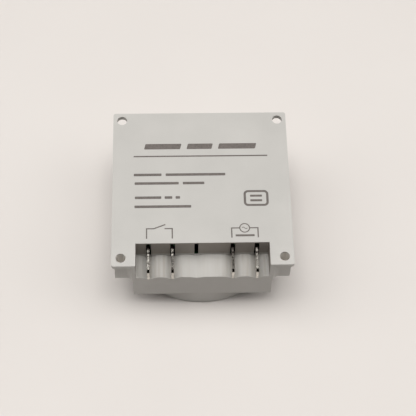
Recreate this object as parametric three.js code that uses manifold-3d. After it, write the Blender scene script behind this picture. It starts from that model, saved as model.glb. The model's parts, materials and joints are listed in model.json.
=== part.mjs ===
// Digital weekly time switch, 60 x 60 x 28 mm, with four rear push-on tabs that stick out by 0.8 mm.
// Millimetres. The unit lies on its round bezel: +Z is the rear (flange) side, -Z the display side,
// -Y the terminal side and +Y the lid hinge side. The origin is the centre of the bezel's rim plane.
import * as THREE from "three";
import { mergeVertices } from "three/addons/utils/BufferGeometryUtils.js";
import Module from "manifold-3d";

// ---------- driving dimensions ----------
const SIDE = 60; // square flange
const DEPTH = 28; // bezel rim to rear face
const FLANGE_T = 1.7;
const HOLE_AT = 27; // corner holes, from the centre
const HOLE_R = 1.7;
const SPLIT_Z = 17.2; // joint between front housing and rear cover
const BLOCK_Z = 7.5; // front face of the terminal block
const BEZEL_R = 30;
const DRUM_R = 29.2;
const COVER_R = 29.4;
const BLOCK_HALF = 23.2;
const WALL = 1.4;
const BAY_HALF = 22.15; // terminal bay, open to the rear and to -Y
const BAY_BACK_Y = -21.6;
const BAY_FLOOR_Z = 19.8;
const TAB_X = [-18, -10, 10, 18];
const SPARE_X = -2; // fifth, unused terminal position
const DIP_HALF = 1.9; // half-width of a dip in the bay's floor
const DIP_DEPTH = 1.35; // under a tab
const SPARE_DIP_DEPTH = 0.6;
const SLOT_W = 1.6; // slots that the tabs come out of
const SPARE_SLOT_W = 1.3;
const SLOT_OFFSET = 0.1; // the tabs stand a little to one side of their slots
const SLOT_LOW_Z = 18.97;
const SPARE_SLOT_LOW_Z = 19.7;
const SLOT_HIGH_Z = 27.4;
const LOWER_HOLE_AT = 26.95; // the two lower corner holes are blind
const LOWER_HOLE_R = 1.65;
const LOWER_HOLE_DEPTH = 6.5;
const TAB_W = 6.3;
const TAB_T = 0.8;
const TAB_Z = 22.2; // middle of a tab's width
const TAB_TIP_Y = -30.8; // the tips stand just proud of the terminal block

const FACE_Z = 4; // outer side of the display face
const FACE_T = 1.6;
const OVERLAY_T = 0.35;
const RECESS_R = 27.1; // round recess that takes the lid
const CAVITY_R = 27.7;
const LID_R = 26.6;
const LID_Z = 0.4;
const LID_T = 1.4;
const LID_RIM_Z = 2.3; // inner edge of the low rim round the lid
const HINGE_Y = 25.6;
const HINGE_Z = 1.75;
const HINGE_HALF = 11;
const PIN_R = 0.6;

const WINDOW = { x: 0, y: 8.5, w: 30, h: 12.6 };
const BOARD_Z = 9.6; // front face of the logic board
const BOARD_T = 1.2;
const BOARD_R = 26.8;
const POWER_Z = 23.2; // front face of the power board
const POWER_T = 1.6;
const POWER_R = 27.4;
const LED = { x: 0, y: -21.6, r: 1.5 };

// name, place, cap size, corner radius and colour of each key
const [SLATE, YELLOW, RED, DARK] = [0x5d6b78, 0xd9a63a, 0xb33a2c, 0x4a4d50];
const KEYS = [
  { name: "program", x: 15, y: -6.2, w: 6.4, h: 4.2, r: 1.8, colour: SLATE },
  { name: "day", x: 5, y: -6.2, w: 6.4, h: 4.2, r: 1.8, colour: SLATE },
  { name: "hour", x: -5, y: -6.2, w: 6.4, h: 4.2, r: 1.8, colour: SLATE },
  { name: "minute", x: -15, y: -6.2, w: 6.4, h: 4.2, r: 1.8, colour: SLATE },
  { name: "clock", x: 9.5, y: -15.4, w: 6.4, h: 4.2, r: 1.8, colour: YELLOW },
  { name: "manual", x: -9.5, y: -15.4, w: 8.6, h: 4.2, r: 1.8, colour: RED },
  { name: "reset", x: 0, y: -15.4, w: 2, h: 2, r: 1, colour: DARK },
];

const BIG = 64; // segments of large circles
const SMALL = 16;
const FAR = 40; // outside the part in any direction, for the ends of cutting tools
const FIT = 0.05; // clearance between parts that rest on each other

const wasm = await Module();
wasm.setup();

// ---------- solids from three.js geometry ----------
function solid(geometry) {
  const bare = geometry.clone();
  bare.deleteAttribute("normal");
  bare.deleteAttribute("uv");
  const merged = mergeVertices(bare, 1e-4);
  const mesh = new wasm.Mesh({
    numProp: 3,
    vertProperties: merged.attributes.position.array,
    triVerts: new Uint32Array(merged.index.array),
  });
  return new wasm.Manifold(mesh);
}

function geometryOf(made) {
  const mesh = made.getMesh();
  const points = new Float32Array(mesh.numVert * 3);
  for (let i = 0; i < mesh.numVert; i++) {
    points.set(mesh.vertProperties.subarray(i * mesh.numProp, i * mesh.numProp + 3), i * 3);
  }
  const geometry = new THREE.BufferGeometry();
  geometry.setAttribute("position", new THREE.BufferAttribute(points, 3));
  geometry.setIndex(new THREE.BufferAttribute(mesh.triVerts, 1));
  geometry.computeVertexNormals();
  return geometry;
}

const join = (...parts) => parts.reduce((a, b) => a.add(b));
const cut = (base, ...tools) => tools.reduce((a, b) => a.subtract(b), base);

function box(x0, x1, y0, y1, z0, z1) {
  const geometry = new THREE.BoxGeometry(x1 - x0, y1 - y0, z1 - z0);
  return solid(geometry.translate((x0 + x1) / 2, (y0 + y1) / 2, (z0 + z1) / 2));
}

// A round bar along Z, or along X or Y when axis says so, between two stations on that axis.
function bar(r, from, to, a = 0, b = 0, axis = "z", segments = SMALL) {
  const geometry = new THREE.CylinderGeometry(r, r, to - from, segments);
  const mid = (from + to) / 2;
  if (axis === "z") return solid(geometry.rotateX(Math.PI / 2).translate(a, b, mid));
  if (axis === "x") return solid(geometry.rotateZ(-Math.PI / 2).translate(mid, a, b));
  return solid(geometry.translate(a, mid, b));
}

function slab(shape, z0, z1, segments = 4) {
  const options = { depth: z1 - z0, bevelEnabled: false, curveSegments: segments };
  return solid(new THREE.ExtrudeGeometry(shape, options).translate(0, 0, z0));
}

// A profile of [radius, z] points turned about Z; it starts and ends on the axis.
function turned(points, segments = BIG) {
  const profile = points.map(([r, z]) => new THREE.Vector2(r, z));
  return solid(new THREE.LatheGeometry(profile, segments).rotateX(Math.PI / 2));
}

function roundedRect(w, h, r, cx = 0, cy = 0) {
  const [x, y] = [cx - w / 2, cy - h / 2];
  const shape = new THREE.Shape();
  shape.moveTo(x + r, y);
  shape.lineTo(x + w - r, y);
  shape.absarc(x + w - r, y + r, r, -Math.PI / 2, 0, false);
  shape.lineTo(x + w, y + h - r);
  shape.absarc(x + w - r, y + h - r, r, 0, Math.PI / 2, false);
  shape.lineTo(x + r, y + h);
  shape.absarc(x + r, y + h - r, r, Math.PI / 2, Math.PI, false);
  shape.lineTo(x, y + r);
  shape.absarc(x + r, y + r, r, Math.PI, 1.5 * Math.PI, false);
  return shape;
}

// ---------- materials ----------
function finish(colour, roughness = 0.5, metalness = 0, opacity = 1) {
  return new THREE.MeshStandardMaterial({
    color: colour,
    roughness,
    metalness,
    opacity,
    transparent: opacity < 1,
  });
}
const housingPlastic = finish(0xc8c6c1, 0.55);
const clearPlastic = finish(0xe8eef0, 0.08, 0, 0.3);
const steel = finish(0x9b9c9e, 0.3, 1);
const tinned = finish(0xc9c4b6, 0.25, 1);
const brass = finish(0xc49a4a, 0.3, 1);
const boardGreen = finish(0x2f6b45, 0.45);
const blackPlastic = finish(0x1c1d1f, 0.5);

const model = new THREE.Group();
function place(parent, name, part, material, x = 0, y = 0, z = 0) {
  const mesh = new THREE.Mesh(part.isBufferGeometry ? part : geometryOf(part), material);
  mesh.name = name;
  mesh.position.set(x, y, z);
  parent.add(mesh);
  return mesh;
}

// ---------- rear cover ----------
const FLANGE_Z = DEPTH - FLANGE_T;
const BOSS_X = 29.1; // outer side of a lower corner boss
const BOSS_Y = -28.9;
const BOSS_Z = 17.6;
const BOSS_INNER = { x: 18, y: -20 }; // where the boss has run into the block and the drum
const FILLET = { x: 25.44, y: -31.25, r: 2.35 }; // hollow corner beside the terminal block
const COVER_BLOCK_HALF = 23.45;
const BAY_WALL = 1.2;
const LIP_T = 0.35; // of the wall below a slot; the rest is relieved for the tab's root
const RELIEF_LOW_Z = 18.2;
const POST_R = 2.2;
const POWER_PILOT_R = 1;
const POWER_PILOT_END = 27.1;

// Corner boss with the hollow fillet that runs into the terminal block, on one side.
function cornerBoss(side) {
  const start = Math.PI / 2;
  const end = Math.asin((-SIDE / 2 - FILLET.y) / FILLET.r);
  const shape = new THREE.Shape();
  shape.moveTo(BOSS_X, BOSS_Y);
  shape.lineTo(BOSS_X, BOSS_INNER.y);
  shape.lineTo(BOSS_INNER.x, BOSS_INNER.y);
  shape.lineTo(BOSS_INNER.x, -SIDE / 2);
  const steps = 8;
  for (let i = 0; i <= steps; i++) {
    const angle = end + ((start - end) * i) / steps;
    shape.lineTo(FILLET.x - FILLET.r * Math.cos(angle), FILLET.y + FILLET.r * Math.sin(angle));
  }
  const made = slab(shape, BOSS_Z, FLANGE_Z + 0.5);
  return side > 0 ? made : made.mirror([1, 0, 0]);
}

// Height of the bay's floor at x: a dip under every terminal position clears the push-on sockets.
function bayFloor(x) {
  const dip = (at, deep) => deep * Math.exp(-(((x - at) / DIP_HALF) ** 2));
  const dips = TAB_X.map((at) => dip(at, DIP_DEPTH)).concat(dip(SPARE_X, SPARE_DIP_DEPTH));
  return BAY_FLOOR_Z - dips.reduce((a, b) => a + b);
}

// The space of the terminal bay, with the wavy floor as its lower side.
function terminalBay() {
  const shape = new THREE.Shape();
  shape.moveTo(BAY_HALF, FAR);
  shape.lineTo(-BAY_HALF, FAR);
  const steps = 80;
  for (let i = 0; i <= steps; i++) {
    const x = -BAY_HALF + (2 * BAY_HALF * i) / steps;
    shape.lineTo(x, bayFloor(x));
  }
  const options = { depth: FAR, bevelEnabled: false };
  const geometry = new THREE.ExtrudeGeometry(shape, options);
  return solid(geometry.rotateX(Math.PI / 2).translate(0, BAY_BACK_Y, 0));
}

// A slot through the wall at the back of the terminal bay, with the relief behind its lower lip.
function wallSlot(x, width, low) {
  const [from, to, end] = [x - width / 2, x + width / 2, BAY_BACK_Y + 2];
  const opening = box(from, to, BAY_BACK_Y - 0.5, end, low, SLOT_HIGH_Z);
  return opening.add(box(from, to, BAY_BACK_Y + LIP_T, end, RELIEF_LOW_Z, low + 1));
}

function powerPost(x, y) {
  return bar(POST_R, POWER_Z + POWER_T + 2 * FIT, FLANGE_Z + 0.2, x, y);
}

const POWER_SCREWS = [
  [-22.5, 8],
  [22.5, 8],
];

function rearCover() {
  const flange = slab(roundedRect(SIDE, SIDE, 0.8), FLANGE_Z, DEPTH, 4);
  const drum = bar(COVER_R, SPLIT_Z, FLANGE_Z + 0.5, 0, 0, "z", BIG);
  const block = box(-COVER_BLOCK_HALF, COVER_BLOCK_HALF, -SIDE / 2, -10, SPLIT_Z, FLANGE_Z + 0.5);
  const cavity = bar(COVER_R - WALL, SPLIT_Z - 1, FLANGE_Z, 0, 0, "z", BIG).intersect(
    box(-FAR, FAR, BAY_BACK_Y + BAY_WALL, FAR, 0, FAR),
  );
  const shell = cut(join(flange, drum, block, cornerBoss(1), cornerBoss(-1)), cavity);
  const slots = TAB_X.map((x) => wallSlot(x + SLOT_OFFSET, SLOT_W, SLOT_LOW_Z));
  slots.push(wallSlot(SPARE_X, SPARE_SLOT_W, SPARE_SLOT_LOW_Z));
  const posts = join(...POWER_SCREWS.map(([x, y]) => powerPost(x, y)));
  const pilots = POWER_SCREWS.map(([x, y]) => bar(POWER_PILOT_R, POWER_Z, POWER_PILOT_END, x, y));
  const upperHoles = [-1, 1].map((s) => bar(HOLE_R, FLANGE_Z - 1, DEPTH + 1, s * HOLE_AT, HOLE_AT, "z", 32));
  const holeEnd = DEPTH - LOWER_HOLE_DEPTH;
  const lowerHoles = [-1, 1].map((s) =>
    bar(LOWER_HOLE_R, holeEnd, DEPTH + 1, s * LOWER_HOLE_AT, -LOWER_HOLE_AT, "z", 32),
  );
  const body = cut(shell, terminalBay(), ...slots).add(posts);
  return cut(body, ...pilots, ...upperHoles, ...lowerHoles);
}
place(model, "rear_cover", rearCover(), housingPlastic);

// ---------- front housing ----------
const BOARD_SCREWS = [
  [-22.6, -3.5],
  [22.6, -3.5],
];

const HOUSING_TOP = SPLIT_Z - 0.02;
const BEZEL_CHAMFER = 0.7;
const BLOCK_WALL = 1.5;
const BLOCK_CAVITY_Y = -28.5;
const NOTCH_Y = 22.5; // inner end of the hinge's notch in the bezel
const SCOOP = { half: 6, y0: -28.6, y1: -20, z: 2.4 }; // finger room below the lid's tongue
const PIN_HOLE_HALF = 13.4;
const LOGIC_PILOT_R = 0.95;
const KEY_GAP = 0.2;
const TONGUE_T = 0.9;
const TONGUE_RISE = 1.4;

function keyHole(key, gap, z0, z1) {
  const shape = roundedRect(key.w + 2 * gap, key.h + 2 * gap, key.r + gap, key.x, key.y);
  return slab(shape, z0, z1, 3);
}

function frontHousing() {
  const drum = turned([
    [0, 0],
    [BEZEL_R - BEZEL_CHAMFER, 0],
    [BEZEL_R, BEZEL_CHAMFER],
    [BEZEL_R, BLOCK_Z],
    [DRUM_R, BLOCK_Z + 0.8],
    [DRUM_R, HOUSING_TOP],
    [0, HOUSING_TOP],
  ]);
  const block = box(-BLOCK_HALF, BLOCK_HALF, -SIDE / 2, -10, BLOCK_Z, HOUSING_TOP);
  const inside = FACE_Z + FACE_T;
  const cavity = bar(CAVITY_R, inside, SPLIT_Z + 1, 0, 0, "z", BIG);
  const blockInner = BLOCK_HALF - BLOCK_WALL;
  const blockCavity = box(-blockInner, blockInner, BLOCK_CAVITY_Y, 0, BLOCK_Z + BLOCK_WALL, SPLIT_Z + 1);
  const recess = bar(RECESS_R, -1, FACE_Z, 0, 0, "z", BIG);
  const notchHalf = HINGE_HALF + 0.3;
  const hingeNotch = box(-notchHalf, notchHalf, NOTCH_Y, FAR, -1, FACE_Z - 0.3);
  const scoop = box(-SCOOP.half, SCOOP.half, SCOOP.y0, SCOOP.y1, -1, SCOOP.z);
  const pinHole = bar(PIN_R + 0.1, -PIN_HOLE_HALF, PIN_HOLE_HALF, HINGE_Y, HINGE_Z, "x");
  const window = slab(roundedRect(WINDOW.w, WINDOW.h, 0.8, WINDOW.x, WINDOW.y), 3, 7);
  const rebate = slab(roundedRect(WINDOW.w + 2, WINDOW.h + 2, 1, WINDOW.x, WINDOW.y), 3, FACE_Z + 1);
  const ledHole = bar(LED.r + 0.15, 3, 7, LED.x, LED.y);
  const keyHoles = KEYS.map((key) => keyHole(key, KEY_GAP, 3, 7));
  const posts = BOARD_SCREWS.map(([x, y]) => bar(POST_R, inside - 0.3, BOARD_Z - FIT, x, y));
  const pilots = BOARD_SCREWS.map(([x, y]) => bar(LOGIC_PILOT_R, inside + 0.6, BOARD_Z + 1, x, y));
  // Tongue that locates the rear cover, all round except at the terminal bay.
  const tongue = cut(
    bar(COVER_R - WALL - 0.1, SPLIT_Z - 1.5, SPLIT_Z + TONGUE_RISE, 0, 0, "z", BIG),
    bar(COVER_R - WALL - 0.1 - TONGUE_T, 0, FAR, 0, 0, "z", BIG),
    box(-FAR, FAR, -FAR, -18, 0, FAR),
  );
  const shell = cut(join(drum, block), cavity, blockCavity, recess, hingeNotch, scoop, pinHole);
  const face = cut(shell, window, rebate, ledHole, ...keyHoles);
  return cut(join(face, tongue, ...posts), ...pilots);
}
place(model, "front_housing", frontHousing(), housingPlastic);

// ---------- face overlay, window and lid ----------
function faceOverlay() {
  const [z0, z1] = [FACE_Z - OVERLAY_T - FIT, FACE_Z - FIT];
  const disc = bar(RECESS_R - 0.5, z0, z1, 0, 0, "z", BIG);
  const trim = box(-FAR, FAR, NOTCH_Y - 0.2, FAR, 0, 10);
  const window = slab(roundedRect(WINDOW.w, WINDOW.h, 0.8, WINDOW.x, WINDOW.y), 3, 5);
  const ledHole = bar(LED.r + 0.15, 3, 5, LED.x, LED.y);
  return cut(disc, trim, window, ledHole, ...KEYS.map((key) => keyHole(key, 0.3, 3, 5)));
}
place(model, "face_overlay", faceOverlay(), finish(0x9aa7ad, 0.4));

const windowShape = roundedRect(WINDOW.w + 1.7, WINDOW.h + 1.7, 0.9, WINDOW.x, WINDOW.y);
const WINDOW_T = 0.9;
place(model, "display_window", slab(windowShape, FACE_Z + FIT, FACE_Z + FIT + WINDOW_T), clearPlastic);

const PIN_HALF = 13.2;
const LID_SKIRT_T = 1;
const LID_TONGUE = { half: 5, y0: -28, y1: -25.6 }; // the lip that a fingertip lifts

function clearLid() {
  const disc = bar(LID_R, LID_Z, LID_Z + LID_T, 0, 0, "z", BIG);
  const plate = cut(disc, box(-FAR, FAR, HINGE_Y - 3, FAR, -5, 10));
  const neck = box(-HINGE_HALF, HINGE_HALF, 15, HINGE_Y, LID_Z, LID_Z + LID_T);
  const barrel = bar(HINGE_Z - LID_Z, -HINGE_HALF, HINGE_HALF, HINGE_Y, HINGE_Z, "x");
  const bore = bar(PIN_R + 0.15, -FAR, FAR, HINGE_Y, HINGE_Z, "x");
  const skirt = cut(
    bar(LID_R, LID_Z, LID_RIM_Z, 0, 0, "z", BIG),
    bar(LID_R - LID_SKIRT_T, -1, 5, 0, 0, "z", BIG),
    box(-FAR, FAR, 18, FAR, -5, 10),
  );
  const { half, y0, y1 } = LID_TONGUE;
  const tongue = box(-half, half, y0, y1, LID_Z, LID_Z + LID_T);
  return cut(join(plate, neck, barrel, skirt, tongue), bore);
}
place(model, "clear_lid", clearLid(), clearPlastic);
place(model, "lid_hinge_pin", bar(PIN_R, -PIN_HALF, PIN_HALF, HINGE_Y, HINGE_Z, "x"), steel);

// ---------- display ----------
const LCD = { w: 33, h: 15.6, z: 5.8, t: 1.8 };
const lcdShape = roundedRect(LCD.w, LCD.h, 0.3, WINDOW.x, WINDOW.y);
place(model, "lcd_glass", slab(lcdShape, LCD.z, LCD.z + LCD.t, 2), finish(0x8d9a86, 0.15));

function lcdFrame() {
  const [rim, gap] = [2.6, 0.3];
  const outer = roundedRect(LCD.w + rim, LCD.h + rim, 0.8, WINDOW.x, WINDOW.y);
  const inner = roundedRect(LCD.w + gap, LCD.h + gap, 0.4, WINDOW.x, WINDOW.y);
  return cut(slab(outer, LCD.z - 0.1, BOARD_Z - FIT), slab(inner, 0, FAR));
}
place(model, "lcd_frame", lcdFrame(), blackPlastic);
const zebra = box(-15, 15, 1.6, 3.6, LCD.z + LCD.t + FIT, BOARD_Z - FIT);
place(model, "zebra_strip", zebra, finish(0x3a3b3d, 0.8));

// ---------- logic board ----------
const SCREW_HOLE_R = 1.2;
function logicBoard() {
  const disc = bar(BOARD_R, BOARD_Z, BOARD_Z + BOARD_T, 0, 0, "z", BIG);
  return cut(disc, ...BOARD_SCREWS.map(([x, y]) => bar(SCREW_HOLE_R, 5, 15, x, y)));
}
const BOARD_BACK = BOARD_Z + BOARD_T;
place(model, "logic_board", logicBoard(), boardGreen);

const blob = turned(
  [
    [0, 0],
    [4.6, 0],
    [4.2, 0.6],
    [2.8, 1.1],
    [0, 1.35],
  ],
  32,
);
const CRYSTAL = { r: 1, half: 3 };
const BATTERY = { r: 5.8, t: 5.4 };
const crystal = bar(CRYSTAL.r, -CRYSTAL.half, CRYSTAL.half, 0, 0, "x");
const battery = bar(BATTERY.r, 0, BATTERY.t, 0, 0, "z", 36);
place(model, "processor_chip", blob, blackPlastic, -6, 8, BOARD_BACK + FIT);
place(model, "quartz_crystal", crystal, steel, -12, 17, BOARD_BACK + CRYSTAL.r + 2 * FIT);
place(model, "backup_battery", battery, steel, 14.5, 10, BOARD_BACK + 2 * FIT);

function ledLamp() {
  const lens = turned(
    [
      [0, 3.3],
      [0.8, 3.45],
      [1.3, 4],
      [LED.r, 4.8],
      [LED.r, 7.2],
      [1.9, 7.2],
      [1.9, 8.2],
      [0, 8.2],
    ],
    SMALL,
  );
  const [wire, apart] = [0.25, 0.9];
  const lead = (x) => box(x - wire, x + wire, -wire, wire, 8, BOARD_Z - FIT);
  return join(lens, lead(-apart), lead(apart));
}
place(model, "indicator_led", ledLamp(), finish(0xb3161a, 0.2), LED.x, LED.y, 0);

const PIN_PITCH = 2.54;
const PIN_TOP = POWER_Z + POWER_T + 0.8; // how far pins come through the power board

// Plastic bar with five long pins that joins the two boards.
function boardLink() {
  const [half, thick, pin] = [2.5 * PIN_PITCH, 1.25, 0.32];
  const bed = box(-half, half, -thick, thick, BOARD_BACK + FIT, BOARD_BACK + FIT + 2 * thick);
  const pins = [-2, -1, 0, 1, 2].map((i) => {
    const x = i * PIN_PITCH;
    return box(x - pin, x + pin, -pin, pin, BOARD_BACK + 1, PIN_TOP);
  });
  return join(bed, ...pins);
}
const LINK_Y = 21.5;
place(model, "board_link", boardLink(), blackPlastic, 0, LINK_Y, 0);

const LOGIC_SCREW = 4.2; // lengths under the head
const POWER_SCREW = 3.6;

// Pan-head self-tapping screw with its head's underside at z = 0 and its shank along +Z.
function boardScrew(length) {
  const head = turned(
    [
      [0, -1.4],
      [1.3, -1.3],
      [1.9, -0.7],
      [1.9, 0],
      [0.85, 0],
      [0.85, length - 0.8],
      [0, length],
    ],
    12,
  );
  const slot = (w, d) => box(-w / 2, w / 2, -d / 2, d / 2, -2, -0.7);
  return cut(head, slot(2, 0.45), slot(0.45, 2));
}
const logicScrews = new THREE.Group();
model.add(logicScrews);
BOARD_SCREWS.forEach(([x, y], i) => {
  const name = `logic_screw_${i + 1}`;
  const screw = place(logicScrews, name, boardScrew(LOGIC_SCREW), steel, x, y, BOARD_BACK + FIT);
  screw.rotation.x = Math.PI;
});

// ---------- keys ----------
const SWITCH_FRONT = 7.6;
const SWITCH_HALF = 3;
const CAP_FRONT = 2.6;
const CAP_BACK = 5.8; // where the cap widens into the rim that keeps it in its hole
const CAP_RIM = 1.2;
const PLUNGER_R = 1.1;

function keyCap(key) {
  const small = key.name === "reset";
  const front = small ? FACE_Z - 0.2 : CAP_FRONT;
  const stem = bar(small ? 0.8 : PLUNGER_R, 6.3, 6.75);
  const body = slab(roundedRect(key.w, key.h, key.r), front, CAP_BACK, 3);
  const rimShape = roundedRect(key.w + CAP_RIM, key.h + CAP_RIM, key.r + CAP_RIM / 2);
  const rim = slab(rimShape, CAP_BACK - 0.05, CAP_BACK + 0.55, 3);
  return join(body, rim, stem);
}

function switchBody() {
  const body = box(-SWITCH_HALF, SWITCH_HALF, -SWITCH_HALF, SWITCH_HALF, SWITCH_FRONT, BOARD_Z - FIT);
  return cut(body, bar(PLUNGER_R + 0.2, SWITCH_FRONT - 1, SWITCH_FRONT + 1.5));
}
const switchGeometry = geometryOf(switchBody());
const plungerGeometry = geometryOf(bar(PLUNGER_R, 6.8, 8.5, 0, 0, "z", 20));

const keys = new THREE.Group();
model.add(keys);
for (const key of KEYS) {
  const group = new THREE.Group();
  group.position.set(key.x, key.y, 0);
  keys.add(group);
  place(group, `${key.name}_key`, keyCap(key), finish(key.colour, 0.45));
  place(group, `${key.name}_plunger`, plungerGeometry.clone(), finish(0xd8d2c4, 0.5));
  place(group, `${key.name}_switch`, switchGeometry.clone(), blackPlastic);
}

// ---------- power board and its parts ----------
const POWER_FRONT = POWER_Z - 0.1; // rear ends of the parts that stand on the board's front side
const TAB_PINS = [
  [-18.6, -17.6],
  [-16.2, -15.2],
]; // from and to of each tab's two solder pins, along Y
const TAB_ROOT_Y = -20.2; // here the blade narrows to pass under the board's edge
const TAB_BEVEL = 0.9;
const EYE = { r: 0.7, back: 3.2 }; // latch hole and its distance from the tip

function powerBoard() {
  const disc = bar(POWER_R, POWER_Z, POWER_Z + POWER_T, 0, 0, "z", BIG);
  const trim = box(-FAR, FAR, -FAR, -20, 0, FAR);
  const screwHoles = POWER_SCREWS.map(([x, y]) => bar(SCREW_HOLE_R, 20, 30, x, y));
  const tabHoles = TAB_X.flatMap((x) =>
    TAB_PINS.map(([from, to]) => box(x - 0.6, x + 0.6, from - 0.2, to + 0.2, 20, 30)),
  );
  const linkHole = box(-5.7, 5.7, LINK_Y - 0.6, LINK_Y + 0.6, 20, 30);
  const notch = box(SPARE_X - 2, SPARE_X + 2, -FAR, -12, 0, FAR);
  return cut(disc, trim, notch, linkHole, ...screwHoles, ...tabHoles);
}
place(model, "power_board", powerBoard(), boardGreen);

const powerScrews = new THREE.Group();
model.add(powerScrews);
POWER_SCREWS.forEach(([x, y], i) => {
  place(powerScrews, `power_screw_${i + 1}`, boardScrew(POWER_SCREW), steel, x, y, POWER_Z - FIT);
});

// Push-on tab in the YZ plane: a chamfered blade outside, two solder pins inside.
function tab() {
  const [z0, z1] = [TAB_Z - TAB_W / 2, TAB_Z + TAB_W / 2];
  const [tip, shoulder] = [TAB_TIP_Y, TAB_TIP_Y + TAB_BEVEL];
  const low = POWER_Z - 0.3;
  const pins = TAB_PINS.flatMap(([from, to]) => [
    [from, low],
    [from, PIN_TOP],
    [to, PIN_TOP],
    [to, low],
  ]);
  const outline = [
    [tip, z0 + TAB_BEVEL],
    [shoulder, z0],
    [TAB_PINS[1][1], z0],
    ...pins.reverse().slice(1),
    [TAB_ROOT_Y, low],
    [TAB_ROOT_Y, z1],
    [shoulder, z1],
    [tip, z1 - TAB_BEVEL],
  ];
  const shape = new THREE.Shape(outline.map(([y, z]) => new THREE.Vector2(y, z)));
  const options = { depth: TAB_T, bevelEnabled: false };
  const blade = new THREE.ExtrudeGeometry(shape, options);
  blade.translate(0, 0, -TAB_T / 2).rotateY(Math.PI / 2).rotateX(Math.PI / 2);
  const eye = bar(EYE.r, -1, 1, tip + EYE.back, TAB_Z, "x", 20);
  return cut(solid(blade), eye);
}
const tabGeometry = geometryOf(tab());
const tabs = new THREE.Group();
model.add(tabs);
TAB_X.forEach((x, i) => {
  place(tabs, `terminal_tab_${i + 1}`, tabGeometry.clone(), tinned, x, 0, 0);
});

const canister = bar(4, 12.6, POWER_FRONT, 0, 0, "z", 32);
const filmBody = slab(roundedRect(13, 5, 0.6), 14.2, POWER_FRONT);
const bridge = box(-4, 4, -3.2, 3.2, 20, POWER_FRONT);
place(model, "electrolytic_capacitor", canister, finish(0x23304a, 0.4), 17.2, -6.5, 0);
place(model, "film_capacitor", filmBody, finish(0xa8842c, 0.4), -12, 4.5, 0);
place(model, "bridge_rectifier", bridge, blackPlastic, 2.5, 12, 0);

function transistor() {
  const body = cut(bar(2.3, 17, 21.8), box(-3, 3, -3, -1.2, 10, 30));
  const wire = 0.22;
  const leads = [-1, 0, 1].map((i) => {
    const x = (i * PIN_PITCH) / 2;
    return box(x - wire, x + wire, -wire, wire, 21.5, POWER_Z - FIT);
  });
  return join(body, ...leads);
}
place(model, "driver_transistor", transistor(), blackPlastic, 10.5, 3.5, 0);

// ---------- relay ----------
// Local frame: X along the coil, Z up to the power board, origin under the armature's pivot line.
const RELAY = { x0: -13.8, x1: 14.7, half: 6.3, bottom: 10.95, base: 21.2, coilZ: 16.5 };
const relay = new THREE.Group();
relay.position.set(-6.2, -8.3, 0);
model.add(relay);

const relayBase = box(RELAY.x0, RELAY.x1, -RELAY.half, RELAY.half, RELAY.base, POWER_Z - FIT);
place(relay, "relay_base", relayBase, blackPlastic);

function relayCover() {
  const t = 0.8;
  const outer = box(RELAY.x0, RELAY.x1, -RELAY.half, RELAY.half, RELAY.bottom, RELAY.base - FIT);
  const inner = box(RELAY.x0 + t, RELAY.x1 - t, -RELAY.half + t, RELAY.half - t, RELAY.bottom + t, FAR);
  return cut(outer, inner);
}
place(relay, "relay_cover", relayCover(), finish(0x27405e, 0.35));

const COIL = { x0: 1.2, x1: 11.2, tube: 2, bore: 1.6, wire: 3.4, cheek: 0.6 };
const CORE = { r: 1.5, x0: 0.75, x1: 11.5 };
const YOKE = { x: 12.6, half: 3.4, low: 11.9, t: 1 };
const CONTACT_Z = 19.2;
const CONTACT_HALF = 2;
const RIVET_R = 0.9;

function bobbin() {
  const tube = bar(COIL.tube, COIL.x0, COIL.x1, 0, RELAY.coilZ, "x");
  const cheek = (x) => box(x, x + COIL.cheek, -4.2, 4.2, RELAY.coilZ - 3.5, RELAY.coilZ + 4.2);
  const bore = bar(COIL.bore, 0, FAR, 0, RELAY.coilZ, "x");
  return cut(join(tube, cheek(COIL.x0), cheek(COIL.x1 - COIL.cheek)), bore);
}
place(relay, "relay_bobbin", bobbin(), finish(0xe5e0d2, 0.5));
const winding = cut(
  bar(COIL.wire, COIL.x0 + COIL.cheek + FIT, COIL.x1 - COIL.cheek - FIT, 0, RELAY.coilZ, "x", 32),
  bar(COIL.tube + FIT, 0, FAR, 0, RELAY.coilZ, "x"),
);
place(relay, "relay_winding", winding, finish(0xa4552a, 0.35, 0.6));
place(relay, "relay_core", bar(CORE.r, CORE.x0, CORE.x1, 0, RELAY.coilZ, "x"), steel);

function yoke() {
  const upright = box(YOKE.x - YOKE.t, YOKE.x, -YOKE.half, YOKE.half, YOKE.low, 20.4);
  const leg = box(0.3, YOKE.x, -YOKE.half, YOKE.half, YOKE.low, YOKE.low + 0.9);
  return join(upright, leg);
}
place(relay, "relay_yoke", yoke(), steel);

// The armature stands on the yoke's end and leans to the core when the coil is on.
const armature = box(-0.55, 0.4, -YOKE.half, YOKE.half, 13, 20.2);
place(relay, "relay_armature", armature, steel);

function movingContact() {
  const carrier = box(-2.8, -0.6, -CONTACT_HALF, CONTACT_HALF, 13.4, 15.2);
  const blade = box(-3.1, -2.75, -CONTACT_HALF, CONTACT_HALF, 13.4, 20.4);
  const rivet = bar(RIVET_R, -2.8, -2.2, 0, CONTACT_Z, "x", 12);
  return join(carrier, blade, rivet);
}
place(relay, "relay_moving_contact", movingContact(), brass);

function fixedContact() {
  const plate = box(-1.4, -1.05, -CONTACT_HALF, CONTACT_HALF, 17, RELAY.base - FIT);
  const rivet = bar(RIVET_R, -1.9, -1.35, 0, CONTACT_Z, "x", 12);
  return join(plate, rivet);
}
place(relay, "relay_fixed_contact", fixedContact(), brass);

export default model;
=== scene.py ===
"""Looks of the panel time switch: fine meshes, procedural materials, studio and camera.

Lengths are in millimetres in the part's own frame and are turned into metres where a mesh or light is made.
The part lies face down on its bezel: +Z is the rear face, -Y the terminal side.
"""
import json
import math

import bmesh
import bpy
from mathutils import Matrix, Vector

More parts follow.
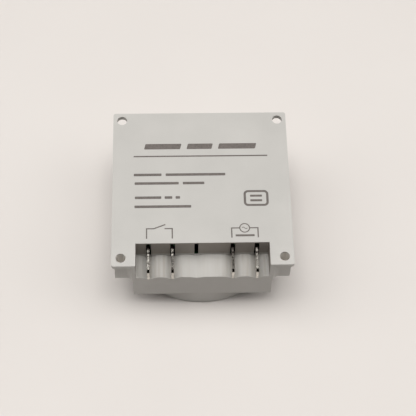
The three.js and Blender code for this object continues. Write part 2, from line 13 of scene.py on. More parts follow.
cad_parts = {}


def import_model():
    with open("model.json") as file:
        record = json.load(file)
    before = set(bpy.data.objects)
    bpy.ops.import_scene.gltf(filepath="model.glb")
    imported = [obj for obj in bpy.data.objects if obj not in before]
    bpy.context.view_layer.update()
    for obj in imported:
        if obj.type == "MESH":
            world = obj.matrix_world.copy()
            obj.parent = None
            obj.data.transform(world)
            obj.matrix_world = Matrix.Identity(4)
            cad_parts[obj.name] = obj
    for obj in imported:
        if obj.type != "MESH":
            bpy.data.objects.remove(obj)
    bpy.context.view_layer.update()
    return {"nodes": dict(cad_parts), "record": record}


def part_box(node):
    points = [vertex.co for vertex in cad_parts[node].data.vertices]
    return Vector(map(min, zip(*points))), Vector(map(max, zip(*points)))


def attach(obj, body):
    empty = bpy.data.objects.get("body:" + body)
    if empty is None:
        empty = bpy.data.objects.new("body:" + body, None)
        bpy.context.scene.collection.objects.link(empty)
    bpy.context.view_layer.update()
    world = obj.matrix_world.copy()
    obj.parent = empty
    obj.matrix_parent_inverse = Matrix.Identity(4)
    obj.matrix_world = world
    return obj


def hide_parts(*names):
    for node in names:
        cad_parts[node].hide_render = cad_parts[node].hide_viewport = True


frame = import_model()
NODES = frame["nodes"]
BODIES = frame["record"]["behaviour"]["bodies"]
BODY_OF = {node: body for body, members in BODIES.items() for node in members}
SLOT_OF = {entry["node"]: entry["material_slot"] for entry in frame["record"]["subparts"]}
MM = 0.001


def box_mm(node):
    """Lowest and highest corner of a CAD node, in millimetres."""
    low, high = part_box(node)
    return low / MM, high / MM


def centre_mm(node):
    """Middle of a CAD node's box, in millimetres."""
    low, high = box_mm(node)
    return (low + high) / 2


COVER_HIGH = box_mm("rear_cover")[1]
REAR_Z = COVER_HIGH.z
HALF = COVER_HIGH.x
TAB_X = [centre_mm(f"terminal_tab_{i}").x for i in (1, 2, 3, 4)]
TAB_LOW = box_mm("terminal_tab_1")[0]
TAB_TIP = TAB_LOW.y
TAB_W = 6.3
TAB_T = 0.8
TAB_BEVEL = 0.9
TAB_TOP = TAB_LOW.z + TAB_W
KEYS = ["program", "day", "hour", "minute", "clock", "manual", "reset"]
# Places on the rear cover, as in the CAD: the terminal bay, and the two blind corner holes beside it.
BAY_HALF = 22.15
BAY_BACK = -21.6
BAY_FLOOR = 19.85
HOLE_AT = 26.95
HOLE_REACH = 1.75
HOLE_DEPTH = 6.5
# The tabs whose long edge gets a painted dark reflection: place along X, where it ends along Y, and how
# dark.
DARK_REFLECTION_TABS = [(TAB_X[1], -25.2, 0.6), (TAB_X[2], BAY_BACK, 0.8), (TAB_X[3], BAY_BACK, 0.3)]
HAZE = 0.3  # how far painted shade or painted light fades out
CRISP = 0.05  # how far a mark that ends at an edge fades out

# ------------------------------------------------------------------ materials


def new_material(name):
    """A new node material, its nodes and its links."""
    material = bpy.data.materials.new(name)
    material.use_nodes = True
    return material, material.node_tree.nodes, material.node_tree.links


def own_place(nodes):
    """The point being shaded, in the part's own frame, in metres."""
    return nodes.new("ShaderNodeTexCoord").outputs["Object"]


def stretched(nodes, links, scale, rotation=(0.0, 0.0, 0.0)):
    """The point being shaded, scaled along each axis and turned, to draw a noise out into streaks."""
    mapping = nodes.new("ShaderNodeMapping")
    mapping.inputs["Scale"].default_value = scale
    mapping.inputs["Rotation"].default_value = rotation
    links.new(own_place(nodes), mapping.inputs["Vector"])
    return mapping.outputs["Vector"]


def noise(nodes, links, scale, detail=3.0, source=None):
    """A noise texture in object space, with its scale in features per metre."""
    texture = nodes.new("ShaderNodeTexNoise")
    texture.inputs["Scale"].default_value = scale
    texture.inputs["Detail"].default_value = detail
    if source is None:
        source = own_place(nodes)
    links.new(source, texture.inputs["Vector"])
    return texture.outputs["Fac"]


def remap(nodes, links, value, low, high, start=0.3, end=0.7):
    """value from start..end stretched to low..high."""
    node = nodes.new("ShaderNodeMapRange")
    node.inputs["From Min"].default_value = start
    node.inputs["From Max"].default_value = end
    node.inputs["To Min"].default_value = low
    node.inputs["To Max"].default_value = high
    links.new(value, node.inputs["Value"])
    return node.outputs["Result"]


def mixed(nodes, links, factor, first, second):
    """Colour between first and second; each is a socket or an RGB triple."""
    node = nodes.new("ShaderNodeMix")
    node.data_type = "RGBA"
    links.new(factor, node.inputs["Factor"])
    for socket, value in ((node.inputs[6], first), (node.inputs[7], second)):
        if isinstance(value, bpy.types.NodeSocket):
            links.new(value, socket)
        else:
            socket.default_value = (*value, 1.0)
    return node.outputs[2]


def bump(nodes, links, height, distance, strength=1.0, below=None):
    """A bumped normal, on top of another one if below is given."""
    node = nodes.new("ShaderNodeBump")
    node.inputs["Distance"].default_value = distance
    node.inputs["Strength"].default_value = strength
    links.new(height, node.inputs["Height"])
    if below is not None:
        links.new(below, node.inputs["Normal"])
    return node.outputs["Normal"]


def arithmetic(nodes, links, operation, first, second=0.0):
    """A Math node; first and second are sockets or numbers."""
    node = nodes.new("ShaderNodeMath")
    node.operation = operation
    for socket, value in zip(node.inputs, (first, second)):
        if isinstance(value, bpy.types.NodeSocket):
            links.new(value, socket)
        else:
            socket.default_value = value
    return node.outputs[0]


def place_axes(nodes, links):
    """The X, Y and Z sockets of the point being shaded, in the part's own frame, in metres."""
    axes = nodes.new("ShaderNodeSeparateXYZ")
    links.new(own_place(nodes), axes.inputs["Vector"])
    return axes.outputs


def times(nodes, links, *factors):
    """The product of several factors, the first of which is a socket."""
    product = factors[0]
    for factor in factors[1:]:
        product = arithmetic(nodes, links, "MULTIPLY", product, factor)
    return product


def within(nodes, links, value, low, high, blur=0.15):
    """1 where value, in metres, lies between low and high, in millimetres, fading out over blur."""
    rising = remap(nodes, links, value, 0, 1, (low - blur) * MM, low * MM)
    falling = remap(nodes, links, value, 1, 0, high * MM, (high + blur) * MM)
    return times(nodes, links, rising, falling)


def in_bay(nodes, links, low, high):
    """1 in the terminal bay between two heights, else 0."""
    x, y, z = place_axes(nodes, links)
    side = within(nodes, links, arithmetic(nodes, links, "ABSOLUTE", x), -1.0, BAY_HALF + CRISP)
    depth = within(nodes, links, y, -HALF + 2 * CRISP, BAY_BACK + 2 * CRISP, CRISP)
    return times(nodes, links, side, depth, within(nodes, links, z, low, high, HAZE))


def floor_streaks_and_shade(nodes, links):
    """Brownish streaks along the floor of the terminal bay, left by the push-on sockets, made stronger
    towards the tabs as painted shade.
    """
    lines = noise(nodes, links, 900.0, 4.0, stretched(nodes, links, (1.0, 0.05, 0.05)))
    lines = remap(nodes, links, lines, 0, 1, 0.45, 0.75)
    from_middle = arithmetic(nodes, links, "ABSOLUTE", place_axes(nodes, links)[0])
    shade_near_tabs = remap(nodes, links, from_middle, 0.25, 1.0, 3 * MM, 10 * MM)
    return times(nodes, links, in_bay(nodes, links, BAY_FLOOR - 1.5, BAY_FLOOR), shade_near_tabs, lines)


def hole_painted_light(nodes, links):
    """1 inside the two lower corner holes, below the rear face, where light is painted, else 0."""
    x, y, z = place_axes(nodes, links)
    across = arithmetic(nodes, links, "SUBTRACT", arithmetic(nodes, links, "ABSOLUTE", x), HOLE_AT * MM)
    along = arithmetic(nodes, links, "ADD", y, HOLE_AT * MM)
    squares = [times(nodes, links, v, v) for v in (across, along)]
    distance = arithmetic(nodes, links, "SQRT", arithmetic(nodes, links, "ADD", *squares))
    near = within(nodes, links, distance, -1.0, HOLE_REACH, 0.1)
    deep = within(nodes, links, z, REAR_Z - HOLE_DEPTH - HAZE, REAR_Z - 0.5, HAZE)
    return times(nodes, links, near, deep)


def housing_plastic(name):
    """The housing's plastic: painted shade on the terminal bay walls, floor streaks that are partly painted
    shade, and painted light in the two lower corner holes.
    """
    material = moulded(name, HOUSING, 0.5, gloss=0.35)
    nodes, links = material.node_tree.nodes, material.node_tree.links
    base = nodes["Principled BSDF"].inputs["Base Color"]
    colour = base.links[0].from_socket
    # Painted shade, slightly warm, on the walls of the terminal bay.
    colour = mixed(nodes, links, in_bay(nodes, links, BAY_FLOOR + 1.0, REAR_Z - 0.4), colour, BAY_PAINTED_SHADE)
    # Streaks on the bay floor, partly rubbed marks and partly painted shade near the tabs.
    colour = mixed(nodes, links, floor_streaks_and_shade(nodes, links), colour, FLOOR_SOIL_AND_SHADE)
    # Painted light inside the two lower corner holes.
    links.new(mixed(nodes, links, hole_painted_light(nodes, links), colour, HOLE_PAINTED_LIGHT), base)
    return material


def tab_edge(nodes, links):
    """1 on the long edge of a tab that faces out of the bay, else 0."""
    return within(nodes, links, place_axes(nodes, links)[2], TAB_TOP - 0.15, TAB_TOP + 1.0, 0.1)


def tab_bevel(nodes, links):
    """1 on the bevel between a tab's tip and that edge, else 0."""
    x, y, z = place_axes(nodes, links)
    along = within(nodes, links, y, TAB_TIP - 1.0, TAB_TIP + TAB_BEVEL, CRISP)
    return times(nodes, links, along, within(nodes, links, z, TAB_TOP - TAB_BEVEL, TAB_TOP + 1.0, CRISP))


def tab_painted_shade(nodes, links):
    """Painted shade on the tabs: in the slot at the wall, a painted shadow line beyond it, painted shade on
    the tip's bevel and painted dark reflections on some long edges.
    """
    x, y, z = place_axes(nodes, links)
    # Painted shade in the slot, a painted shadow line outside it, and painted shade on the tip's bevel.
    marks = [
        within(nodes, links, y, BAY_BACK - 0.5, 0.0, 0.4),
        within(nodes, links, y, BAY_BACK - 2.4, BAY_BACK - 2.1, 0.25),
        tab_bevel(nodes, links),
    ]
    # Painted dark reflections along the long edge of some tabs.
    for tab_x, from_y, amount in DARK_REFLECTION_TABS:
        side = within(nodes, links, x, tab_x - TAB_T, tab_x + TAB_T, CRISP)
        length = within(nodes, links, y, TAB_TIP + TAB_BEVEL, from_y, 0.6)
        marks.append(times(nodes, links, side, length, tab_edge(nodes, links), amount))
    darkest = marks[0]
    for mark in marks[1:]:
        darkest = arithmetic(nodes, links, "MAXIMUM", darkest, mark)
    return darkest


def tab_metal(name):
    """Tinned brass: mottled on the long edge, hardly on the flats, with painted shade and dark reflections
    in some places.
    """
    material = metal(name, TIN, 0.26, (0.25, 1, 1), 0.1, 0.6)
    nodes, links = material.node_tree.nodes, material.node_tree.links
    base = nodes["Principled BSDF"].inputs["Base Color"]
    tin = base.links[0].from_socket
    spots = remap(nodes, links, noise(nodes, links, 1100.0, 3.0), 0, 1, 0.5, 0.58)
    strength = remap(nodes, links, tab_edge(nodes, links), 0.12, 0.8)
    mottled = mixed(nodes, links, times(nodes, links, spots, strength), tin, TIN_STAIN)
    # Painted shade and dark reflections on the tin.
    links.new(mixed(nodes, links, tab_painted_shade(nodes, links), mottled, TIN_PAINTED_SHADE), base)
    return material


def moulded(name, colour, roughness=0.5, grain=9000.0, depth=0.00001, tint=0.04, gloss=0.5):
    """Injection-moulded plastic: spark-eroded grain, faint flow clouds and rubbed patches."""
    material, nodes, links = new_material(name)
    shader = nodes["Principled BSDF"]
    shader.inputs["Specular IOR Level"].default_value = gloss
    clouds = noise(nodes, links, 60.0, 4.0)
    specks = noise(nodes, links, 2600.0, 2.0)
    dark = tuple(c * (1 - tint) for c in colour)
    light = tuple(min(1.0, c * (1 + tint)) for c in colour)
    base = mixed(nodes, links, remap(nodes, links, clouds, 0, 1), dark, light)
    speck_amount = remap(nodes, links, specks, 0.0, 0.12, 0.62, 0.8)
    base = mixed(nodes, links, speck_amount, base, tuple(c * 0.6 for c in colour))
    links.new(base, shader.inputs["Base Color"])
    rub = noise(nodes, links, 190.0, 5.0)
    links.new(remap(nodes, links, rub, roughness - 0.06, roughness + 0.06), shader.inputs["Roughness"])
    coarse = bump(nodes, links, noise(nodes, links, grain / 6, 2.0), depth * 1.2, 0.5)
    fine = bump(nodes, links, noise(nodes, links, grain, 2.0), depth, 0.8, coarse)
    links.new(fine, shader.inputs["Normal"])
    return material


def metal(name, colour, roughness=0.3, streak=(1, 1, 1), wear=0.08, dark=0.75):
    """Plated or rolled metal: fine rolling lines, dull clouds and tiny pits."""
    material, nodes, links = new_material(name)
    shader = nodes["Principled BSDF"]
    shader.inputs["Metallic"].default_value = 1.0
    lines = noise(nodes, links, 2500.0, 4.0, stretched(nodes, links, streak))
    clouds = noise(nodes, links, 420.0, 4.0)
    shade = tuple(c * dark for c in colour)
    base = mixed(nodes, links, remap(nodes, links, clouds, 0, 1), shade, colour)
    links.new(base, shader.inputs["Base Color"])
    links.new(remap(nodes, links, lines, roughness - wear, roughness + wear), shader.inputs["Roughness"])
    links.new(bump(nodes, links, lines, 0.000004, 0.6), shader.inputs["Normal"])
    return material


def clear(name):
    """Thin clear polycarbonate, with faint hairline scratches."""
    material, nodes, links = new_material(name)
    shader = nodes["Principled BSDF"]
    shader.inputs["Alpha"].default_value = 0.1
    shader.inputs["IOR"].default_value = 1.58
    scratches = noise(nodes, links, 900.0, 2.0, stretched(nodes, links, (1.0, 0.06, 1.0), (0.0, 0.0, 0.7)))
    links.new(remap(nodes, links, scratches, 0.04, 0.16, 0.55, 0.8), shader.inputs["Roughness"])
    dull = tuple(c * 0.96 for c in CLEAR)
    base = mixed(nodes, links, remap(nodes, links, scratches, 0, 1), CLEAR, dull)
    links.new(base, shader.inputs["Base Color"])
    return material


def circuit_board(name):
    """Green solder resist over copper tracks."""
    material, nodes, links = new_material(name)
    shader = nodes["Principled BSDF"]
    shader.inputs["Roughness"].default_value = 0.32
    cells = nodes.new("ShaderNodeTexVoronoi")
    cells.feature = "DISTANCE_TO_EDGE"
    cells.inputs["Scale"].default_value = 260.0
    links.new(own_place(nodes), cells.inputs["Vector"])
    tracks = remap(nodes, links, cells.outputs["Distance"], 1, 0, 0.05, 0.09)
    clouds = remap(nodes, links, noise(nodes, links, 150.0), 0, 1)
    green = mixed(nodes, links, clouds, (0.016, 0.12, 0.05), (0.022, 0.15, 0.065))
    base = mixed(nodes, links, tracks, green, (0.05, 0.25, 0.11))
    links.new(base, shader.inputs["Base Color"])
    links.new(bump(nodes, links, tracks, 0.00003, 0.7), shader.inputs["Normal"])
    return material


INK = (0.085, 0.073, 0.066)
OVERLAY_INK = (0.03, 0.035, 0.045)


def ink(name, colour=INK):
    """Pad-printed ink, slightly uneven."""
    material, nodes, links = new_material(name)
    shader = nodes["Principled BSDF"]
    patches = noise(nodes, links, 1800.0, 3.0)
    light = tuple(c * 1.5 for c in colour)
    base = mixed(nodes, links, remap(nodes, links, patches, 0, 1), colour, light)
    links.new(base, shader.inputs["Base Color"])
    links.new(remap(nodes, links, patches, 0.42, 0.6), shader.inputs["Roughness"])
    return material


HOUSING = (0.43, 0.42, 0.40)
# Painted shade on the terminal bay walls.
BAY_PAINTED_SHADE = (0.27, 0.245, 0.22)
# Streak colour on the bay floor, partly painted shade.
FLOOR_SOIL_AND_SHADE = (0.36, 0.335, 0.30)
# Painted light inside the lower corner holes.
HOLE_PAINTED_LIGHT = (0.72, 0.69, 0.65)
TIN = (0.74, 0.71, 0.65)
TIN_STAIN = (0.10, 0.085, 0.07)
# Colour of the painted shade and dark reflections on the tabs.
TIN_PAINTED_SHADE = (0.03, 0.025, 0.02)
CLEAR = (0.96, 0.975, 0.98)
# How to make the material of each slot. Plastics: colour, roughness, grain, depth of grain, tint, gloss.
# Metals: colour, roughness, streak, wear, darkest shade.
LOOKS = {
    "housing_plastic": lambda: housing_plastic("housing_plastic"),
    "clear_plastic": lambda: clear("clear_plastic"),
    "overlay_film": lambda: moulded("overlay_film", (0.33, 0.38, 0.41), 0.38, 14000.0, 0.000004, 0.02),
    "steel": lambda: metal("steel", (0.62, 0.62, 0.63), 0.3),
    "tinned_brass": lambda: tab_metal("tinned_brass"),
    "brass": lambda: metal("brass", (0.74, 0.53, 0.24), 0.3),
    "board": lambda: circuit_board("board"),
    "black_plastic": lambda: moulded("black_plastic", (0.02, 0.02, 0.022), 0.45),
    "lcd": lambda: moulded("lcd", (0.28, 0.32, 0.25), 0.16, 16000.0, 0.000002, 0.03),
    "elastomer": lambda: moulded("elastomer", (0.05, 0.05, 0.052), 0.75),
    "key_slate": lambda: moulded("key_slate", (0.10, 0.13, 0.165), 0.42),
    "key_yellow": lambda: moulded("key_yellow", (0.66, 0.37, 0.05), 0.42),
    "key_red": lambda: moulded("key_red", (0.42, 0.045, 0.03), 0.42),
    "key_dark": lambda: moulded("key_dark", (0.07, 0.073, 0.077), 0.5),
    "plunger_plastic": lambda: moulded("plunger_plastic", (0.7, 0.66, 0.57), 0.5),
    "led_red": lambda: moulded("led_red", (0.45, 0.01, 0.012), 0.14, 9000.0, 0.000001, 0.03, 0.7),
    "capacitor_sleeve": lambda: moulded("capacitor_sleeve", (0.018, 0.03, 0.065), 0.28),
    "film_dip": lambda: moulded("film_dip", (0.4, 0.24, 0.03), 0.25),
    "relay_blue": lambda: moulded("relay_blue", (0.02, 0.05, 0.115), 0.32),
    "bobbin_plastic": lambda: moulded("bobbin_plastic", (0.78, 0.75, 0.66), 0.5),
    "copper_wire": lambda: metal("copper_wire", (0.55, 0.2, 0.08), 0.3, (1, 0.05, 0.05), 0.1, 0.6),
}
_made = {}


def look(slot):
    """The material of a slot, made the first time it is asked for."""
    if slot not in _made:
        _made[slot] = LOOKS[slot]()
    return _made[slot]


# ------------------------------------------------------------------ meshes


def add_mesh(name, mesh, slot, body):
    """Links a new piece, gives it the finish of a slot, or a material, and lets it ride on its body."""
    piece = bpy.data.objects.new(name, mesh)
    bpy.context.scene.collection.objects.link(piece)
    mesh.materials.clear()
    mesh.materials.append(look(slot) if slot in LOOKS else slot)
    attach(piece, body)
    return piece


def baked(piece):
    """Applies all modifiers of a piece to its mesh."""
    graph = bpy.context.evaluated_depsgraph_get()
    mesh = bpy.data.meshes.new_from_object(piece.evaluated_get(graph), depsgraph=graph)
    piece.modifiers.clear()
    piece.data = mesh


def smooth(mesh):
    """Smooth faces, with every edge sharper than SHARP_ANGLE kept sharp."""
    work = bmesh.new()
    work.from_mesh(mesh)
    for face in work.faces:
        face.smooth = True
    for edge in work.edges:
        edge.smooth = edge.calc_face_angle(0.0) < math.radians(SHARP_ANGLE)
    work.to_mesh(mesh)
    work.free()


def cleaned(node):
    """A copy of a CAD mesh with its doubled points merged and its flats made whole."""
    mesh = NODES[node].data.copy()
    work = bmesh.new()
    work.from_mesh(mesh)
    bmesh.ops.remove_doubles(work, verts=work.verts, dist=MERGE)
    bmesh.ops.dissolve_limit(work, angle_limit=FLAT_ANGLE, verts=work.verts, edges=work.edges)
    if node == "rear_cover":
        for vert in work.verts:
            vert.co.z = min(vert.co.z, (REAR_Z - INK_ROOM) * MM)
    work.to_mesh(mesh)
    work.free()
    return mesh


def round_edges(piece, width, clamped):
    """Rounds every sharp edge of a piece; clamped roundings shrink where edges lie close together."""
    rounding = piece.modifiers.new("rounding", "BEVEL")
    rounding.width = width * MM
    rounding.segments = 2
    rounding.limit_method = "ANGLE"
    rounding.angle_limit = math.radians(SHARP_ANGLE)
    rounding.use_clamp_overlap = clamped
    rounding.miter_outer = "MITER_ARC"


def refined(node, width):
    """A fine copy of a CAD node, with whole flats and edges rounded by width."""
    piece = add_mesh(f"{node}_fine", cleaned(node), SLOT_OF[node], BODY_OF[node])
    if width > 0:
        round_edges(piece, width, node in CLAMPED)
    weights = piece.modifiers.new("weights", "WEIGHTED_NORMAL")
    weights.keep_sharp = True
    smooth(piece.data)
    baked(piece)
    piece.data.materials.clear()
    piece.data.materials.append(look(SLOT_OF[node]))
    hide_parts(node)


MERGE = 2e-6  # metres
FLAT_ANGLE = math.radians(0.6)
SHARP_ANGLE = 34.0  # degrees
INK_ROOM = 0.02  # the rear face is this much lower than in the CAD, for the print on it
CLAMPED = {"front_housing", "rear_cover"}  # these have edges that lie close together
USUAL_ROUNDING = 0.06
ROUNDING = {
    "rear_cover": 0.08,
    "front_housing": 0.14,
    "clear_lid": 0.12,
    "face_overlay": 0.0,
    "power_board": 0.0,
}
for node_name in NODES:
    refined(node_name, ROUNDING.get(node_name, USUAL_ROUNDING))

# ------------------------------------------------------------------ printing


def slanted(points, slant, about):
    """Points leaned to the right by slant, as italics are, about a height that keeps its place."""
    return [(x + (y - about) * slant, y) for x, y in points]


def bar_outline(x0, x1, y0, y1, radius, steps=4):
    """A bar with rounded corners, anticlockwise."""
    corners = [(x1 - radius, y0 + radius, -90), (x1 - radius, y1 - radius, 0)]
    corners += [(x0 + radius, y1 - radius, 90), (x0 + radius, y0 + radius, 180)]
    points = []
    for cx, cy, start in corners:
        for i in range(steps + 1):
            turn = math.radians(start + 90 * i / steps)
            points.append((cx + radius * math.cos(turn), cy + radius * math.sin(turn)))
    return points


def block_outline(x, y, width, height, radius):
    """A bar with rounded corners, centred at x, y."""
    return bar_outline(x - width / 2, x + width / 2, y - height / 2, y + height / 2, radius)


def line_outline(points, width, closed=False):
    """The outline of a drawn line with mitred corners; a closed line gives its two rims."""
    count = len(points)
    left, right = [], []
    for i, point in enumerate(points):
        before = Vector(points[i - 1] if closed or i else point)
        after = Vector(points[(i + 1) % count] if closed or i < count - 1 else point)
        here = Vector(point)
        first = (here - before).normalized() if (here - before).length else (after - here).normalized()
        second = (after - here).normalized() if (after - here).length else first
        along = (first + second).normalized()
        across = Vector((-along.y, along.x)) * (width / 2 / max(0.3, along.dot(first)))
        left.append(tuple(here + across))
        right.append(tuple(here - across))
    return (left, right) if closed else right + left[::-1]


def prism(work, points, z0, z1):
    """A flat solid between two heights, from an anticlockwise outline."""
    low = [work.verts.new((x * MM, y * MM, z0 * MM)) for x, y in points]
    high = [work.verts.new((x * MM, y * MM, z1 * MM)) for x, y in points]
    work.faces.new(low[::-1])
    work.faces.new(high)
    for i in range(len(points)):
        j = (i + 1) % len(points)
        work.faces.new((low[i], low[j], high[j], high[i]))


def ring(work, rims, z0, z1):
    """A flat solid between an outer and an inner rim with as many points each."""
    corners = [[work.verts.new((x * MM, y * MM, z * MM)) for x, y in rim] for rim in rims for z in (z0, z1)]
    outer_low, outer_high, inner_low, inner_high = corners
    count = len(rims[0])
    for i in range(count):
        j = (i + 1) % count
        work.faces.new((outer_low[i], outer_low[j], outer_high[j], outer_high[i]))
        work.faces.new((inner_low[j], inner_low[i], inner_high[i], inner_high[j]))
        work.faces.new((outer_high[i], outer_high[j], inner_high[j], inner_high[i]))
        work.faces.new((outer_low[j], outer_low[i], inner_low[i], inner_low[j]))


def printed(name, outlines, rings, z0, z1, finish):
    """One piece of print: outlines and closed rings as flat solids from z0 to z1."""
    work = bmesh.new()
    for points in outlines:
        prism(work, points, z0, z1)
    for rims in rings:
        ring(work, rims, z0, z1)
    bmesh.ops.recalc_face_normals(work, faces=work.faces)
    mesh = bpy.data.meshes.new(name)
    work.to_mesh(mesh)
    work.free()
    piece = add_mesh(name, mesh, finish, "housing")


def circle(cx, cy, radius, steps=40):
    """Points round a circle, anticlockwise."""
    turns = [2 * math.pi * i / steps for i in range(steps)]
    return [(cx + radius * math.cos(turn), cy + radius * math.sin(turn)) for turn in turns]


INK_SUNK = 0.01  # the rear print starts this far below the face it lies on
# Plain bars stand in for the title and for the rows of small text: left and right end of each bar.
TITLE_BARS = [(-19.1, -6.7), (-4.5, 4.1), (6.3, 19.1)]
TITLE_Y = 16.2
TITLE_H = 2.2
TITLE_SLANT = 0.24
TEXT_ROWS = {
    4.85: [(-22.8, -13.4), (-12.0, 8.3)],
    1.45: [(-22.5, -7.6), (-6.2, 1.1)],
    -4.15: [(-22.4, -13.5), (-12.4, -9.8), (-8.7, -7.2)],
    -7.65: [(-22.5, -3.5)],
}
TEXT_H = 1.0
# Bars and frames are given as left, right, lower and upper end.
RULE = (-22.9, 22.95, 11.98, 12.5)
MARK = (14.6, 22.2, -7.4, -2.0)
MARK_LINE = 0.8
MARK_BARS = [(16.4, 20.4, -4.2, -3.4), (16.4, 20.4, -6.0, -5.2)]
# The two circuit symbols: their lowest points, the height of their main line, and their own shapes.
SYMBOL_LINE = 0.42
SWITCH_LOW, SWITCH_Y = -19.85, -16.1
SWITCH_PIVOT, SWITCH_TIP, SWITCH_CONTACT = -16.1, (-12.2, -14.55), -12.5
SUPPLY_LOW, SUPPLY_Y = -19.8, -16.15
SUPPLY_X, SUPPLY_R, SUPPLY_LINE = 14.1, 1.62, 0.36
SUPPLY_BAR = (11.0, 17.3, -19.35, -18.6)
WAVE_HALF, WAVE_RISE, WAVE_LINE, WAVE_STEPS = 0.9, 0.3, 0.24, 18


def word_bars():
    """Plain bars in place of the title and of the small text."""
    low, high = TITLE_Y - TITLE_H / 2, TITLE_Y + TITLE_H / 2
    title = [bar_outline(a, b, low, high, radius=0.3) for a, b in TITLE_BARS]
    bars = [slanted(points, TITLE_SLANT, TITLE_Y) for points in title]
    bars.append(bar_outline(*RULE, radius=0.1))
    for y, row in TEXT_ROWS.items():
        bars += [bar_outline(a, b, y - TEXT_H / 2, y + TEXT_H / 2, radius=0.2) for a, b in row]
    return bars


def switch_symbol():
    """An open switch between the first two tabs."""
    left, right = TAB_X[0] - 0.45, TAB_X[1] + 0.05
    arm = [(left, SWITCH_LOW), (left, SWITCH_Y), (SWITCH_PIVOT, SWITCH_Y), SWITCH_TIP]
    contact = [(SWITCH_CONTACT, SWITCH_Y), (right, SWITCH_Y), (right, SWITCH_LOW)]
    return [line_outline(points, SYMBOL_LINE) for points in (arm, contact)]


def wave():
    """One period of a sine wave in the middle of the supply symbol."""
    points = []
    for i in range(WAVE_STEPS + 1):
        part = 2 * i / WAVE_STEPS
        points.append((SUPPLY_X + WAVE_HALF * (part - 1), SUPPLY_Y + WAVE_RISE * math.sin(math.pi * part)))
    return points


def supply_symbol():
    """The leads and the wave of an alternating supply between the last two tabs, and a bar below it."""
    left, right = TAB_X[2] - 0.25, TAB_X[3] + 0.5
    reach = SUPPLY_R + 0.03
    leads = [
        [(left, SUPPLY_LOW), (left, SUPPLY_Y), (SUPPLY_X - reach, SUPPLY_Y)],
        [(SUPPLY_X + reach, SUPPLY_Y), (right, SUPPLY_Y), (right, SUPPLY_LOW)],
    ]
    outlines = [line_outline(points, SYMBOL_LINE) for points in leads]
    return outlines + [line_outline(wave(), WAVE_LINE), bar_outline(*SUPPLY_BAR, radius=0.15)]


def rear_print():
    """Rule, word bars, the two circuit symbols and a plain square mark on the rear face."""
    outlines = word_bars() + switch_symbol() + supply_symbol()
    outlines += [bar_outline(*bar, radius=0.15) for bar in MARK_BARS]
    rings = [
        line_outline(circle(SUPPLY_X, SUPPLY_Y, SUPPLY_R), SUPPLY_LINE, closed=True),
        line_outline(bar_outline(*MARK, radius=1.1), MARK_LINE, closed=True),
    ]
    rings = [(right_rim, left_rim) for left_rim, right_rim in rings]
    low = REAR_Z - INK_ROOM - INK_SUNK
    printed("rear_print", outlines, rings, low, REAR_Z, ink("ink"))


# The front is read from -Z with the hinge at the top, so a print's right is -X there.
SEGMENTS = {"0": "abcdef", "1": "bc", "2": "abdeg"}
DIGIT_W, DIGIT_H, SEGMENT_T, SEGMENT_GAP = 3.3, 6.4, 0.62, 0.12
DISPLAY_Y = 8.5
TIME_Y = DISPLAY_Y - 1.1
TIME = [("1", -8.4), ("2", -3.6), ("0", 3.6), ("0", 8.4)]  # each digit and its middle
COLON_HALF = 1.4
DAYS_Y, DAY_PITCH = DISPLAY_Y + 4.65, 3.9
STATES_Y, STATE_PITCH = DISPLAY_Y - 5.6, 9
WINDOW_FRAME, WINDOW_LINE = (33.2, 15.4), 0.5
FRONT_TITLE = (-8.0, 8.0, 17.9, 19.0)
KEY_BAR_PART, KEY_BAR_T, KEY_BAR_GAP = 0.32, 0.7, 0.65  # half length over the key's, thickness, distance
LAMP_BAR_FROM, LAMP_BAR_TO, LAMP_BAR_T = 2.6, 6.0, 0.7
FRONT_INK_OUT, FRONT_INK_IN = 0.01, 0.03  # how far the front prints stand out of and reach into their face


def mirrored(points):
    """Points as seen from the front."""
    return [(-x, y) for x, y in points]


def seven_segments(digit, x, y):
    """The lit segments of one display digit, centred at x, y."""
    half_w, half_h = DIGIT_W / 2, DIGIT_H / 2
    flats = {"a": half_h, "g": 0.0, "d": -half_h}
    uprights = {"b": (half_w, 0, 1), "c": (half_w, -1, 0), "e": (-half_w, -1, 0), "f": (-half_w, 0, 1)}
    outlines = []
    for name in SEGMENTS[digit]:
        if name in flats:
            span = DIGIT_W - SEGMENT_T - 2 * SEGMENT_GAP
            outlines.append(block_outline(x, y + flats[name], span, SEGMENT_T, radius=0.15))
        else:
            at, start, end = uprights[name]
            low, high = y + start * half_h + SEGMENT_GAP, y + end * half_h - SEGMENT_GAP
            outlines.append(block_outline(x + at, (low + high) / 2, SEGMENT_T, high - low, radius=0.15))
    return outlines


def front_print(name, outlines, rings, node, finish):
    """Print on the front face of a node, in the housing."""
    face = box_mm(node)[0].z
    printed(name, outlines, rings, face - FRONT_INK_OUT, face + FRONT_INK_IN, finish)


def display_print():
    """The dark segments on the display glass: a time, the days of the week and three state marks."""
    outlines = []
    for digit, x in TIME:
        outlines += seven_segments(digit, x, TIME_Y)
    blocks = [(0, TIME_Y + rise, 0.7, 0.7) for rise in (-COLON_HALF, COLON_HALF)]
    blocks += [(DAY_PITCH * day, DAYS_Y, 2.4, 0.7) for day in range(-3, 4)]
    blocks += [(STATE_PITCH * state, STATES_Y, 3.6, 0.6) for state in (-1, 0, 1)]
    outlines += [block_outline(*block, radius=0.2) for block in blocks]
    outlines = [mirrored(points) for points in outlines]
    front_print("display_print", outlines, [], "lcd_glass", ink("segments"))


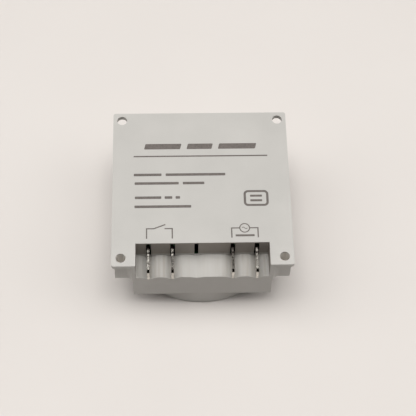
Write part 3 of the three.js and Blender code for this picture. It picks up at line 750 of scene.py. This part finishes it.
def overlay_print():
    """Plain bars by the keys, the lamp and the display, and a thin frame round the window."""
    outlines = [bar_outline(*FRONT_TITLE, radius=0.3)]
    for name in KEYS:
        low, high = box_mm(f"{name}_key")
        middle, half = (low.x + high.x) / 2, (high.x - low.x) * KEY_BAR_PART
        top = low.y - KEY_BAR_GAP
        outlines.append(bar_outline(middle - half, middle + half, top - KEY_BAR_T, top, radius=0.2))
    lamp = centre_mm("indicator_led")
    start, end, half = lamp.x + LAMP_BAR_FROM, lamp.x + LAMP_BAR_TO, LAMP_BAR_T / 2
    outlines.append(bar_outline(start, end, lamp.y - half, lamp.y + half, radius=0.2))
    rims = line_outline(block_outline(0, DISPLAY_Y, *WINDOW_FRAME, radius=1.2), WINDOW_LINE, closed=True)
    film_ink = ink("overlay_ink", OVERLAY_INK)
    front_print("overlay_print", outlines, [rims[::-1]], "face_overlay", film_ink)


rear_print()
display_print()
overlay_print()

# ------------------------------------------------------------------ studio


def floor():
    """A pale, faintly clouded table top at the part's lowest point."""
    mesh = bpy.data.meshes.new("floor")
    corners = [(x * TABLE_HALF, y * TABLE_HALF, 0) for x, y in ((-1, -1), (1, -1), (1, 1), (-1, 1))]
    mesh.from_pydata(corners, [], [(0, 1, 2, 3)])
    material, nodes, links = new_material("table")
    shader = nodes["Principled BSDF"]
    shader.inputs["Roughness"].default_value = 0.6
    clouds = remap(nodes, links, noise(nodes, links, 12.0), 0, 1)
    links.new(mixed(nodes, links, clouds, TABLE_DARK, TABLE_LIGHT), shader.inputs["Base Color"])
    mesh.materials.append(material)
    table = bpy.data.objects.new("floor", mesh)
    bpy.context.scene.collection.objects.link(table)


def world():
    """A room that is dark behind the camera and has a low bright band behind the part, towards +Y."""
    made = bpy.data.worlds.new("room")
    made.use_nodes = True
    nodes, links = made.node_tree.nodes, made.node_tree.links
    axes = nodes.new("ShaderNodeSeparateXYZ")
    links.new(nodes.new("ShaderNodeTexCoord").outputs["Generated"], axes.inputs["Vector"])
    behind = remap(nodes, links, axes.outputs["Y"], 0.0, 1.0, *ROOM_TURN)
    low = remap(nodes, links, axes.outputs["Z"], BAND_GLOW, ROOM_GLOW, 0.0, BAND_TOP)
    glow = arithmetic(nodes, links, "ADD", times(nodes, links, behind, low), ROOM_GLOW)
    links.new(glow, nodes["Background"].inputs["Strength"])
    nodes["Background"].inputs["Color"].default_value = (1.0, 0.99, 0.975, 1.0)
    bpy.context.scene.world = made


def soft_lamp(name, azimuth, elevation, strength):
    """A broad lamp far away; azimuth 0 is towards -Y, 90 towards +X."""
    turn, rise = math.radians(azimuth), math.radians(elevation)
    towards = Vector((math.cos(rise) * math.sin(turn), -math.cos(rise) * math.cos(turn), math.sin(rise)))
    data = bpy.data.lights.new(name, "SUN")
    data.energy = strength
    data.angle = math.radians(LAMP_SPREAD)
    data.color = LAMP_COLOUR
    lamp = bpy.data.objects.new(name, data)
    bpy.context.scene.collection.objects.link(lamp)
    lamp.rotation_euler = (-towards).to_track_quat("-Z", "Y").to_euler()


TABLE_HALF = 3.0  # metres
TABLE_DARK = (0.575, 0.545, 0.522)
TABLE_LIGHT = (0.59, 0.56, 0.537)
ROOM_TURN = (-0.3, 0.3)  # the room turns from dark to bright between these directions along Y
ROOM_GLOW = 0.08
BAND_GLOW = 1.8
BAND_TOP = 0.5  # the band fades out from the horizon up to this direction along Z
LAMP_SPREAD = 36.0
LAMP_COLOUR = (1.0, 0.985, 0.965)
floor()
world()
soft_lamp("key", 0, 85, 1.68)
soft_lamp("top_left", 240, 68, 0.74)
soft_lamp("top_right", 120, 68, 0.6)
soft_lamp("side_left", 265, 42, 0.6)
soft_lamp("side_right", 85, 42, 0.6)

CAMERA_AT = Vector((-9.4, -219.0, REAR_Z + 365.3))
CAMERA_AIM = Vector((2.1, -8.4, REAR_Z))
CAMERA_ROLL = 2.06
LENS = 109.0
SENSOR = 36.0
NEAREST = 0.01  # metres


def camera():
    """The camera, at the photo's angle."""
    data = bpy.data.cameras.new("camera")
    data.lens = LENS
    data.sensor_width = SENSOR
    data.clip_start = NEAREST
    view = bpy.data.objects.new("camera", data)
    bpy.context.scene.collection.objects.link(view)
    view.location = CAMERA_AT * MM
    turn = (CAMERA_AIM - CAMERA_AT).to_track_quat("-Z", "Y").to_matrix()
    view.rotation_euler = (turn @ Matrix.Rotation(math.radians(CAMERA_ROLL), 3, "Z")).to_euler()
    bpy.context.scene.camera = view


camera()
bpy.context.scene.view_settings.view_transform = "Standard"
